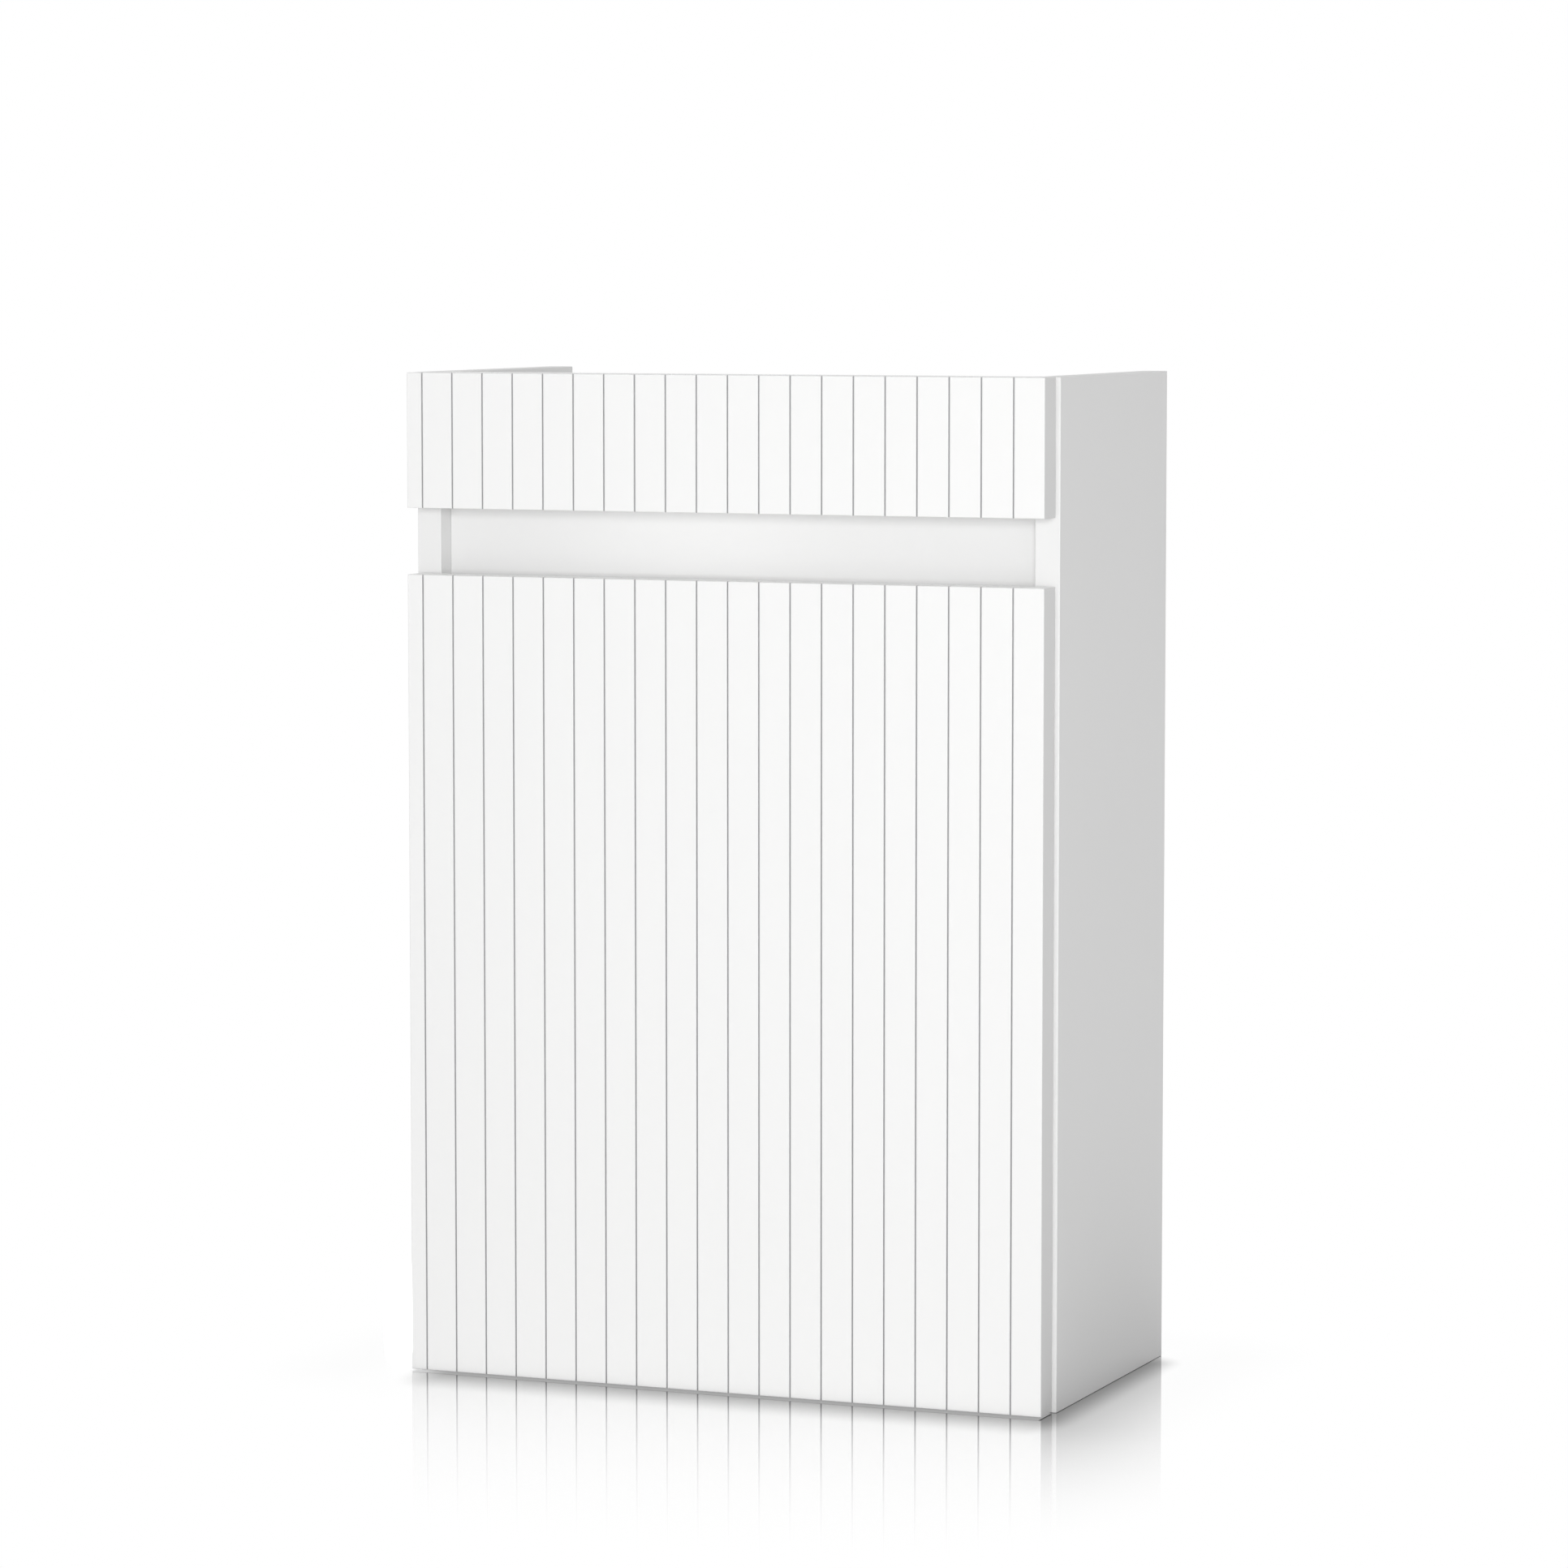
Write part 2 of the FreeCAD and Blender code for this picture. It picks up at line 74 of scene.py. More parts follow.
class Signal:  # one output socket of a node tree; arithmetic on it adds Math nodes there
    def __init__(self, tree, socket=None):
        self.tree = tree
        self.socket = socket

    def add(self, kind, settings=None, inputs=None, out=0):  # any other node: type, settings, socket values
        node = self.tree.nodes.new(kind)
        for key, value in (settings or {}).items():
            setattr(node, key, value)
        for key, value in (inputs or {}).items():
            if isinstance(value, Signal):
                self.tree.links.new(value.socket, node.inputs[key])
            else:
                node.inputs[key].default_value = value
        return Signal(self.tree, node.outputs[out] if node.outputs else None)

    def math(self, operation, *values):
        return self.add("ShaderNodeMath", {"operation": operation}, dict(enumerate(values)))

    def __add__(self, other):
        return self.math("ADD", self, other)

    def __radd__(self, other):
        return self.math("ADD", other, self)

    def __sub__(self, other):
        return self.math("SUBTRACT", self, other)

    def __rsub__(self, other):
        return self.math("SUBTRACT", other, self)

    def __mul__(self, other):
        return self.math("MULTIPLY", self, other)

    def __rmul__(self, other):
        return self.math("MULTIPLY", other, self)

    def __gt__(self, other):
        return self.math("GREATER_THAN", self, other)

    def __lt__(self, other):
        return self.math("LESS_THAN", self, other)

    def __abs__(self):
        return self.math("ABSOLUTE", self)

    def atLeast(self, other):  # the larger of the two
        return self.math("MAXIMUM", self, other)

    def ramp(self, low, high):  # 0 below low, 1 above high, eased between
        return self.add("ShaderNodeMapRange", {"interpolation_type": "SMOOTHSTEP"},
                        {"Value": self, "From Min": low, "From Max": high})

    def noise(self, scale=1.0, detail=softNoise):  # self is a place; features are about 1 / scale metres
        return self.add("ShaderNodeTexNoise", None,
                        {"Vector": self, "Scale": scale, "Detail": detail}, "Fac")

    def stretched(self, scales):
        return self.add("ShaderNodeMapping", None, {"Vector": self, "Scale": scales})

    def axes(self):
        node = self.add("ShaderNodeSeparateXYZ", None, {"Vector": self}).socket.node
        return [Signal(self.tree, socket) for socket in node.outputs]

    def blend(self, first, second):  # self is the share of the second colour
        return self.add("ShaderNodeMix", {"data_type": "RGBA"}, {0: self, 6: first, 7: second}, 2)

    def over(self, first, second):  # self is the share of the second shader
        return self.add("ShaderNodeMixShader", None, {0: self, 1: first, 2: second})

    def bump(self, height):  # self is a 0 to 1 pattern; height in metres
        return self.add("ShaderNodeBump", None, {"Height": self, "Distance": height, "Strength": 1.0})


def makeFinish(name, fixed, paint):  # paint(place) gives what changes over the surface, by socket
    material = bpy.data.materials.new(name)
    material.use_nodes = True
    tree = material.node_tree
    shader = tree.nodes["Principled BSDF"]
    for key, value in fixed.items():
        shader.inputs[key].default_value = value
    place = Signal(tree).add("ShaderNodeTexCoord", out="Object")
    for key, signal in paint(place).items():
        tree.links.new(signal.socket, shader.inputs[key])
    return material


def shade(colour, factor=1.0):
    return tuple(channel * factor for channel in colour[:3]) + (1.0,)


def grey(tone):
    return (tone, tone, tone, 1.0)


# Sizes that the door and the fascia share, for their lacquer and their meshes
front = {
    "edgeRadius": 0.5 * mm, "edgeSteps": 6, "support": 0.1 * mm,
    "grooveWidth": 1.0 * mm, "grooveDepth": 1.6 * mm, "grooveMargin": 9.8 * mm, "groovePitch": 19.3 * mm,
    "grooveCount": 20, "lipRadius": 0.15 * mm, "lipSteps": 5, "bottomSteps": 9,
}
frontLow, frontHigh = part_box("door")

# Sprayed white lacquer: faint clouding, fine orange peel, uneven sheen, painted shade down in the grooves
# and on the long edges
lacquer = {
    "colour": (0.93, 0.93, 0.926), "clouding": 0.985, "cloudScale": 5.0,
    "edgeShade": 0.82, "edgeFrom": 0.45 * mm, "edgeTo": 0.05 * mm,
    "grooveTone": (0.49, 0.49, 0.50, 1.0), "toneFrom": 0.25 * mm, "toneTo": 1.1 * mm, "toneDepth": 3.2 * mm,
    "toneHalfWidth": 0.6 * mm, "toneMargin": 1.0 * mm,
    "peelScale": 650.0, "peelHeight": 0.012 * mm, "dustScale": 4000.0, "dustHeight": 0.003 * mm,
    "roughness": 0.36, "roughnessSpread": 0.08,
}


def downInGroove(across, back):  # 0 on the face, 1 deep in a groove, eased between below the lips
    firstGroove = frontLow[0] + front["grooveMargin"]
    lastGroove = firstGroove + front["groovePitch"] * (front["grooveCount"] - 1)
    fromGroove = across.math("PINGPONG", across - firstGroove, front["groovePitch"] / 2)
    beside = fromGroove < lacquer["toneHalfWidth"]
    afterFirst = across > firstGroove - lacquer["toneMargin"]
    beforeLast = across < lastGroove + lacquer["toneMargin"]
    depth = back - frontLow[1]
    deep = depth.ramp(lacquer["toneFrom"], lacquer["toneTo"])
    return beside * afterFirst * beforeLast * deep * (depth < lacquer["toneDepth"])


def paintLacquer(place):
    clouds = place.noise(lacquer["cloudScale"], fineNoise)
    peel = place.noise(lacquer["peelScale"])
    dust = place.noise(lacquer["dustScale"])
    relief = peel + dust * (lacquer["dustHeight"] / lacquer["peelHeight"])
    colour = shade(lacquer["colour"])
    sprayed = clouds.blend(colour, shade(colour, lacquer["clouding"]))
    across, back = place.axes()[:2]
    onEdge = abs(across).ramp(frontHigh[0] - lacquer["edgeFrom"], frontHigh[0] - lacquer["edgeTo"])
    sprayed = onEdge.blend(sprayed, shade(colour, lacquer["edgeShade"]))  # painted shade on the long edges
    return {
        # painted shade down in the grooves, darker than the lacquer itself
        "Base Color": downInGroove(across, back).blend(sprayed, lacquer["grooveTone"]),
        "Roughness": (clouds - noiseMean) * lacquer["roughnessSpread"] + lacquer["roughness"],
        "Normal": relief.bump(lacquer["peelHeight"]),
    }


# White faced board: pearl grain, a hairline behind the front edge's strip, bare chips in drilled holes
facedBoard = {
    "colour": (0.87, 0.87, 0.867), "clouding": 0.985, "cloudScale": 4.0,
    "pearlScale": 1400.0, "pearlHeight": 0.015 * mm, "roughness": 0.40, "roughnessSpread": 0.07,
    "glossy": {"recess_rail": 0.16, "fascia_rail": 0.16}, "glossyPearl": 0.2,
    "stripThickness": 1.0 * mm, "hairline": 0.09 * mm, "hairlineShade": 0.82, "skin": 0.25 * mm,
    "chipLight": (0.62, 0.47, 0.31, 1.0), "chipDark": (0.33, 0.22, 0.13, 1.0), "chipScale": 900.0,
    "chipRange": (0.35, 0.65), "chipRoughness": 0.45, "chipRelief": 6.0,
}


def boardFinish(node):
    low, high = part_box(node)
    board = facedBoard
    roughness = board["glossy"].get(node, board["roughness"])
    pearlShare = board["glossyPearl"] if node in board["glossy"] else 1.0
    stripEnd = low[1] + board["stripThickness"]

    def paintBoard(place):
        spots = place.axes()
        inside = spots[1] > stripEnd
        for spot, start, end in zip(spots, low, high):  # deeper than the facing on all three axes
            inside = inside * (spot > start + board["skin"]) * (spot < end - board["skin"])
        hairline = abs(spots[1] - stripEnd) < board["hairline"]
        clouds = place.noise(board["cloudScale"], fineNoise)
        pearl = place.noise(board["pearlScale"], fineNoise)
        chips = place.noise(board["chipScale"], crumbNoise)
        colour = shade(board["colour"])
        faced = clouds.blend(colour, shade(colour, board["clouding"]))
        faced = hairline.blend(faced, shade(colour, board["hairlineShade"]))
        raw = chips.ramp(*board["chipRange"]).blend(board["chipDark"], board["chipLight"])
        sheen = (clouds - noiseMean) * board["roughnessSpread"] + roughness
        relief = pearl * pearlShare + inside * chips * board["chipRelief"]
        return {
            "Base Color": inside.blend(faced, raw),
            "Roughness": sheen + inside * board["chipRoughness"],
            "Normal": relief.bump(board["pearlHeight"]),
        }

    return makeFinish(node + "Finish", {"IOR": 1.5}, paintBoard)


# Nickel plate with fine lines along the hinge
nickel = {
    "colour": (0.66, 0.65, 0.62), "lineScale": (1600.0, 1600.0, 60.0), "lineHeight": 0.002 * mm,
    "darker": 0.86, "roughness": 0.24, "roughnessSpread": 0.16, "cloudScale": 120.0,
}


def paintNickel(place):
    lines = place.stretched(nickel["lineScale"]).noise(detail=fineNoise)
    clouds = place.noise(nickel["cloudScale"])
    colour = shade(nickel["colour"])
    return {
        "Base Color": clouds.blend(colour, shade(colour, nickel["darker"])),
        "Roughness": lines * nickel["roughnessSpread"] + nickel["roughness"],
        "Normal": lines.bump(nickel["lineHeight"]),
    }


# Bright zinc plate, its passivated skin turning from bluish to straw
zincPlate = {
    "bluish": (0.60, 0.63, 0.68, 1.0), "straw": (0.66, 0.63, 0.56, 1.0), "tintScale": 260.0,
    "tintRange": (0.35, 0.7), "grainScale": 2600.0, "grainHeight": 0.004 * mm,
    "roughness": 0.26, "roughnessSpread": 0.14,
}


def paintZincPlate(place):
    tint = place.noise(zincPlate["tintScale"])
    grain = place.noise(zincPlate["grainScale"], fineNoise)
    return {
        "Base Color": tint.ramp(*zincPlate["tintRange"]).blend(zincPlate["bluish"], zincPlate["straw"]),
        "Roughness": grain * zincPlate["roughnessSpread"] + zincPlate["roughness"],
        "Normal": grain.bump(zincPlate["grainHeight"]),
    }


# Cast zinc, dull and slightly pitted
zincCast = {
    "pale": (0.52, 0.52, 0.53, 1.0), "dark": (0.36, 0.36, 0.37, 1.0), "blotchScale": 320.0,
    "pitScale": 1500.0, "pitRange": (0.3, 0.6), "pitHeight": 0.03 * mm,
    "roughness": 0.42, "roughnessSpread": 0.2,
}


def paintZincCast(place):
    blotch = place.noise(zincCast["blotchScale"], fineNoise)
    pits = place.noise(zincCast["pitScale"], fineNoise).ramp(*zincCast["pitRange"])
    return {
        "Base Color": blotch.blend(zincCast["dark"], zincCast["pale"]),
        "Roughness": blotch * zincCast["roughnessSpread"] + zincCast["roughness"],
        "Normal": pits.bump(zincCast["pitHeight"]),
    }


# Beech with its grain along the dowel and short dark flecks
beech = {
    "pale": (0.74, 0.56, 0.37, 1.0), "ring": (0.58, 0.39, 0.23, 1.0), "fleck": (0.40, 0.24, 0.13, 1.0),
    "ringScale": (40.0, 420.0, 420.0), "ringRange": (0.3, 0.7),
    "fleckScale": (260.0, 2400.0, 2400.0), "fleckRange": (0.62, 0.7), "fibreHeight": 0.03 * mm,
    "roughness": 0.62, "roughnessSpread": 0.15,
}


def paintBeech(place):
    rings = place.stretched(beech["ringScale"]).noise(detail=fineNoise)
    flecks = place.stretched(beech["fleckScale"]).noise()
    wood = rings.ramp(*beech["ringRange"]).blend(beech["pale"], beech["ring"])
    return {
        "Base Color": flecks.ramp(*beech["fleckRange"]).blend(wood, beech["fleck"]),
        "Roughness": rings * beech["roughnessSpread"] + beech["roughness"],
        "Normal": flecks.bump(beech["fibreHeight"]),
    }


# Moulded plastic with a fine spark-eroded grain
plastic = {
    "colour": (0.88, 0.88, 0.87), "worn": 0.93, "grainScale": 2400.0, "grainHeight": 0.02 * mm,
    "cloudScale": 90.0, "roughness": 0.46, "roughnessSpread": 0.1,
}


def paintPlastic(place):
    grain = place.noise(plastic["grainScale"], fineNoise)
    clouds = place.noise(plastic["cloudScale"])
    colour = shade(plastic["colour"])
    return {
        "Base Color": clouds.blend(colour, shade(colour, plastic["worn"])),
        "Roughness": grain * plastic["roughnessSpread"] + plastic["roughness"],
        "Normal": grain.bump(plastic["grainHeight"]),
    }


# Ground ferrite: near black, speckled, with grinding lines across it
ferrite = {
    "dark": (0.035, 0.035, 0.04, 1.0), "speck": (0.17, 0.17, 0.18, 1.0), "speckScale": 2200.0,
    "speckRange": (0.5, 0.72), "lineScale": (2600.0, 200.0, 90.0), "lineHeight": 0.006 * mm,
    "roughness": 0.48, "roughnessSpread": 0.2,
}


def paintFerrite(place):
    specks = place.noise(ferrite["speckScale"], fineNoise)
    lines = place.stretched(ferrite["lineScale"]).noise(detail=fineNoise)
    return {
        "Base Color": specks.ramp(*ferrite["speckRange"]).blend(ferrite["dark"], ferrite["speck"]),
        "Roughness": lines * ferrite["roughnessSpread"] + ferrite["roughness"],
        "Normal": lines.bump(ferrite["lineHeight"]),
    }


# Milky soft rubber
rubber = {
    "clear": (0.82, 0.83, 0.84, 1.0), "milky": (0.68, 0.69, 0.71, 1.0), "milkScale": 500.0,
    "roughness": 0.22, "roughnessSpread": 0.16, "skinScale": 1800.0, "skinHeight": 0.008 * mm,
}


def paintRubber(place):
    milk = place.noise(rubber["milkScale"], fineNoise)
    skin = place.noise(rubber["skinScale"])
    return {
        "Base Color": milk.blend(rubber["clear"], rubber["milky"]),
        "Roughness": milk * rubber["roughnessSpread"] + rubber["roughness"],
        "Normal": skin.bump(rubber["skinHeight"]),
    }


finishes = {
    "front_lacquer": makeFinish("frontLacquer", {"IOR": 1.5}, paintLacquer),
    "nickel_steel": makeFinish("nickelPlate", {"Metallic": 1.0}, paintNickel),
    "zinc_plated_steel": makeFinish("zincPlate", {"Metallic": 1.0}, paintZincPlate),
    "zinc_casting": makeFinish("castZinc", {"Metallic": 1.0}, paintZincCast),
    "beech": makeFinish("turnedBeech", {"IOR": 1.5}, paintBeech),
    "catch_plastic": makeFinish("catchPlastic", {"IOR": 1.46}, paintPlastic),
    "ferrite": makeFinish("groundFerrite", {"IOR": 2.0}, paintFerrite),
    "clear_rubber": makeFinish("milkyRubber", {"IOR": 1.42, "Transmission Weight": 0.55}, paintRubber),
}
wornBy = {
    "nickel_steel": [
        "upper_hinge_frame_leaf", "lower_hinge_frame_leaf",
        "upper_hinge_door_leaf", "lower_hinge_door_leaf"],
    "zinc_plated_steel": [
        "cam_bolts", "frame_leaf_screws", "door_leaf_screws", "fascia_screws",
        "catch_screws", "strike_screws", "catch_poles", "strike_plate"],
    "zinc_casting": ["cam_locks"],
    "beech": ["wood_dowels"],
    "catch_plastic": ["catch_housing"],
    "ferrite": ["catch_magnet"],
}
boards = [
    "left_side_panel", "right_side_panel", "bottom_panel", "adjustable_shelf",
    "fascia_rail", "recess_rail", "rear_top_rail", "rear_bottom_rail"]


def dress(piece, material):
    piece.data.materials.clear()
    piece.data.materials.append(material)


for slotName, nodeNames in wornBy.items():
    for nodeName in nodeNames:
        dress(frame["nodes"][nodeName], finishes[slotName])

# Board edges: the facing is eased off by hand along every edge
boardEdge = {
    "weld": 0.001 * mm, "flatAngle": 0.5, "radius": 0.5 * mm, "segments": 3, "edgeAngle": 40.0,
    "close": 0.005 * mm,
}


def easeEdges(board):
    joined = board.modifiers.new("joined", "WELD")
    joined.merge_threshold = boardEdge["weld"]
    flat = board.modifiers.new("flat", "DECIMATE")
    flat.decimate_type = "DISSOLVE"
    flat.angle_limit = math.radians(boardEdge["flatAngle"])
    eased = board.modifiers.new("eased", "BEVEL")
    eased.width = boardEdge["radius"]
    eased.segments = boardEdge["segments"]
    eased.limit_method = "ANGLE"
    eased.angle_limit = math.radians(boardEdge["edgeAngle"])
    eased.use_clamp_overlap = False
    eased.loop_slide = False
    eased.harden_normals = True
    closed = board.modifiers.new("closed", "WELD")  # draws the crumbs at rounded corners into one point
    closed.merge_threshold = boardEdge["close"]


for nodeName in boards:
    dress(frame["nodes"][nodeName], boardFinish(nodeName))
    easeEdges(frame["nodes"][nodeName])
print("finishes made:", len(finishes) + len(boards))

# New meshes: points closer than the weld are one, and an edge that turns further than the angle stays sharp
meshing = {"weld": 0.0005 * mm, "sharpAngle": 32.0}


def meshPiece(name, points, faces, stands, body, slotName):
    mesh = bpy.data.meshes.new(name)
    mesh.from_pydata(points, [], faces)
    worked = bmesh.new()
    worked.from_mesh(mesh)
    bmesh.ops.remove_doubles(worked, verts=worked.verts, dist=meshing["weld"])
    bmesh.ops.recalc_face_normals(worked, faces=worked.faces)
    worked.to_mesh(mesh)
    worked.free()
    mesh.shade_smooth()
    mesh.set_sharp_from_angle(angle=math.radians(meshing["sharpAngle"]))
    piece = bpy.data.objects.new(name, mesh)
    scene.collection.objects.link(piece)
    dress(piece, finishes[slotName])
    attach(piece, body)
    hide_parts(stands)
    return piece


def ringFaces(rows, across):  # quads between neighbouring closed loops, each row holding the same count
    row, spot = np.meshgrid(np.arange(rows - 1), np.arange(across), indexing="ij")
    here = row * across + spot
    beside = row * across + (spot + 1) % across
    return np.stack([here, beside, beside + across, here + across], axis=-1).reshape(-1, 4)


def middle(node):
    low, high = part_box(node)
    return (low + high) / 2


# The door is cut away round the hinges' knuckles
hingeNotch = {"reach": 3.2 * mm, "halfLength": 31.6 * mm}
hingeX, hingeY = frame["joints"][0]["pos_m"][:2]
hingeHeights = [middle(node)[2] for node in ("lower_hinge_frame_leaf", "upper_hinge_frame_leaf")]


# A groove's outline, as offsets from its centre line and from the face: lip arc, wall, half-round
# bottom, wall, lip arc, with one more point of the face on each side
def grooveOutline():
    half = front["grooveWidth"] / 2
    lip = front["lipRadius"]
    turn = np.linspace(0, math.pi / 2, front["lipSteps"])
    sweep = np.linspace(0, math.pi, front["bottomSteps"])
    lipX = -half - lip + lip * np.sin(turn)
    lipY = lip - lip * np.cos(turn)
    bottomX = -half * np.cos(sweep)
    bottomY = front["grooveDepth"] - half + half * np.sin(sweep)
    start = -half - lip - front["support"]
    x = np.concatenate([[start], lipX, bottomX, -lipX[::-1], [-start]])
    y = np.concatenate([[0], lipY, bottomY, lipY[::-1], [0]])
    return x, y


# A grooved front is one closed outline carried up the panel: corner arc, grooves, corner arc, then round
# the back. Near the top and bottom each point of the face is pushed back to the quarter circle of the
# edge, where that lies deeper than the point itself. Along a notch the back left corner is cut away.
def frontPanel(node, body, notchHeights):
    low, high = (np.array(corner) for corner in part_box(node))
    radius = front["edgeRadius"]
    turn = np.linspace(0, math.pi / 2, front["edgeSteps"])
    centres = low[0] + front["grooveMargin"] + front["groovePitch"] * np.arange(front["grooveCount"])
    grooveX, grooveY = grooveOutline()
    arcX = np.append(radius - radius * np.cos(turn), radius + front["support"])
    arcY = np.append(radius - radius * np.sin(turn), 0)
    x = np.concatenate([low[0] + arcX, (centres[:, None] + grooveX).ravel(), high[0] - arcX[::-1]])
    depth = np.concatenate([arcY, np.tile(grooveY, len(centres)), arcY[::-1]])

    edge = radius - radius * np.cos(turn)  # heights of the rows in the rounded edge
    rowZ = [low[2] + edge, [low[2] + radius + front["support"]]]
    notched = [np.zeros(len(edge) + 1)]
    for height in notchHeights:
        ends = np.array([height - hingeNotch["halfLength"], height + hingeNotch["halfLength"]])
        rowZ.append(np.repeat(ends, 2))
        notched.append(np.array([0, 1, 1, 0]))
    rowZ += [[high[2] - radius - front["support"]], high[2] - edge[::-1]]
    notched.append(np.zeros(len(edge) + 1))
    rowZ = np.concatenate(rowZ)
    notched = np.concatenate(notched)[:, None]

    fromEdge = np.minimum(np.minimum(rowZ - low[2], high[2] - rowZ), radius)
    pushed = radius - np.sqrt(np.maximum(radius ** 2 - (radius - fromEdge) ** 2, 0))
    frontY = low[1] + np.maximum(depth[None, :], pushed[:, None])
    notchX = hingeX + hingeNotch["reach"]
    notchY = hingeY - hingeNotch["reach"]
    cutY = high[1] + notched * (notchY - high[1])
    flat = np.ones_like(notched)
    backX = flat * [high[0], notchX, notchX, low[0], low[0]]
    backY = np.concatenate([flat * high[1], flat * high[1], cutY, cutY, flat * notchY], axis=1)
    loopX = np.concatenate([np.tile(x, (len(rowZ), 1)), backX], axis=1)
    loopY = np.concatenate([frontY, backY], axis=1)
    across = loopX.shape[1]
    loopZ = np.tile(rowZ[:, None], (1, across))
    points = np.stack([loopX, loopY, loopZ], axis=-1).reshape(-1, 3)
    caps = [list(range(across)), list(range((len(rowZ) - 1) * across, len(rowZ) * across))]
    faces = ringFaces(len(rowZ), across).tolist() + caps
    return meshPiece(node + "Front", points, faces, node, body, "front_lacquer")


doorFront = frontPanel("door", "door", hingeHeights)
fasciaFront = frontPanel("top_fascia", "carcass", ())
print("grooved fronts made:", len(doorFront.data.polygons) + len(fasciaFront.data.polygons), "faces")

turning = {"steps": 40, "bendSteps": 6}  # round the axis, and along each rounded end


# Turned pieces: a profile of (distance along the axis, radius) carried round the axis through a full turn
def turnedPiece(name, node, body, slotName, starts, directions, profile):
    steps = turning["steps"]
    along, radius = np.array(profile).T
    angle = np.arange(steps) * (2 * math.pi / steps)
    allPoints = []
    allFaces = []
    for start, direction in zip(np.array(starts), np.array(directions, float)):
        aside = np.roll(direction, 1)
        across = np.cross(direction, aside)
        around = np.cos(angle)[:, None] * aside + np.sin(angle)[:, None] * across
        points = start + along[:, None, None] * direction + radius[:, None, None] * around
        base = len(allPoints) * len(along) * steps
        allPoints.append(points.reshape(-1, 3))
        allFaces += (ringFaces(len(along), steps) + base).tolist()
        allFaces.append(list(range(base, base + steps)))
        allFaces.append(list(range(base + (len(along) - 1) * steps, base + len(along) * steps)))
    return meshPiece(name, np.concatenate(allPoints), allFaces, node, body, slotName)


def roundedEnd(end, radius, bend):  # quarter circle from the side to the end face
    turn = np.linspace(0, math.pi / 2, turning["bendSteps"])
    return list(zip(end - bend + bend * np.sin(turn), radius - bend + bend * np.cos(turn)))


def turnedBack(profile):  # the same profile the other way along the axis
    return [(-along, radius) for along, radius in profile[::-1]]


# Shelf pegs: a stem in the side panel and a thicker head under the shelf
shelfPin = {
    "stemRadius": 2.45 * mm, "stemLength": 8.0 * mm, "headRadius": 3.5 * mm, "headLength": 9.0 * mm,
    "noseBend": 0.9 * mm, "shoulderBend": 0.3 * mm, "inset": 22.0 * mm,
}
shelfLow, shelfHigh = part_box("adjustable_shelf")
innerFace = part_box("right_side_panel")[0][0]
pinHeight = shelfLow[2] - shelfPin["headRadius"]
pinDepths = (shelfLow[1] + shelfPin["inset"], shelfHigh[1] - shelfPin["inset"])
pinSpots = [(side, depth) for side in (-1, 1) for depth in pinDepths]
turnedPiece(
    "shelfPegs", "shelf_pins", "carcass", "nickel_steel",
    [(side * innerFace, depth, pinHeight) for side, depth in pinSpots],
    [(-side, 0, 0) for side, depth in pinSpots],
    [(-shelfPin["stemLength"], shelfPin["stemRadius"]), (0.0, shelfPin["stemRadius"])]
    + turnedBack(roundedEnd(0.0, shelfPin["headRadius"], shelfPin["shoulderBend"]))
    + roundedEnd(shelfPin["headLength"], shelfPin["headRadius"], shelfPin["noseBend"]))

# Hinge pins, with a rounded head at each end
hingePin = {
    "radius": 1.15 * mm, "half": 30.0 * mm,
    "headRadius": 1.9 * mm, "headLength": 0.8 * mm, "headBend": 0.6 * mm,
}
pinTop = hingePin["half"] + hingePin["headLength"]
pinUpper = [(hingePin["half"], hingePin["radius"]), (hingePin["half"], hingePin["headRadius"])]
pinUpper += roundedEnd(pinTop, hingePin["headRadius"], hingePin["headBend"])
turnedPiece(
    "hingePinsTurned", "hinge_pins", "carcass", "nickel_steel",
    [(hingeX, hingeY, height) for height in hingeHeights], [(0, 0, 1)] * len(hingeHeights),
    turnedBack(pinUpper) + pinUpper)

# Soft stops: above the rim the height rises as the sine and the radius falls as a power of the cosine
softStop = {
    "radius": 4.0 * mm, "rim": 0.35 * mm, "height": 1.2 * mm, "tip": 0.05 * mm, "fullness": 0.7,
    "inset": 25.0 * mm, "steps": 9,
}
stopX = (innerFace + frontHigh[0]) / 2
stopHeights = (frontLow[2] + softStop["inset"], frontHigh[2] - softStop["inset"])
domeTurn = np.linspace(0, math.pi / 2, softStop["steps"])
domeHeight = softStop["rim"] + (softStop["height"] - softStop["rim"]) * np.sin(domeTurn)
domeRadius = np.maximum(softStop["radius"] * np.cos(domeTurn) ** softStop["fullness"], softStop["tip"])
turnedPiece(
    "softStops", "door_bumpers", "door", "clear_rubber",
    [(stopX, frontHigh[1], height) for height in stopHeights], [(0, 1, 0)] * len(stopHeights),
    [(0.0, softStop["radius"])] + list(zip(domeHeight, domeRadius)))
print("turned pieces made")

# White floor: plain white to the eye away from the cabinet, with the shadow, a fading mirror image, a
# painted contact shadow near it, and painted shade in the light it bounces near the foot. The mirror's
# share falls as the square of what is left of its reach, sooner beside the cabinet than before it, and it
# is small in a steep look down and in the slit under the door.
# Stretches and insets go left and right, then front and back.
floor = {
    "size": 30.0, "bounce": 0.84,
    "bounceNear": 0.05, "nearReach": 0.18, "nearStretch": ((1.0, 1.0), (40.0, 10.0)),
    "shadowShare": 0.16, "shadowReach": 0.10, "shadowStretch": ((1.0, 1.0), (1.0, 1.0)),
    "mirror": 0.95, "mirrorReach": 0.42, "mirrorStretch": ((2.3, 2.3), (1.05, 1.05)),
    "mirrorRoughness": 0.015, "steepView": 0.25, "lowView": 0.8,
    "slitBefore": 4.2 * mm, "slitMirror": 0.27,
    "contactTone": 0.55, "contactReach": 0.055, "contactStretch": ((1.8, 2.4), (1.0, 1.8)),
    "contactInset": ((0.03, 0.0), (0.0, 0.03)),
}


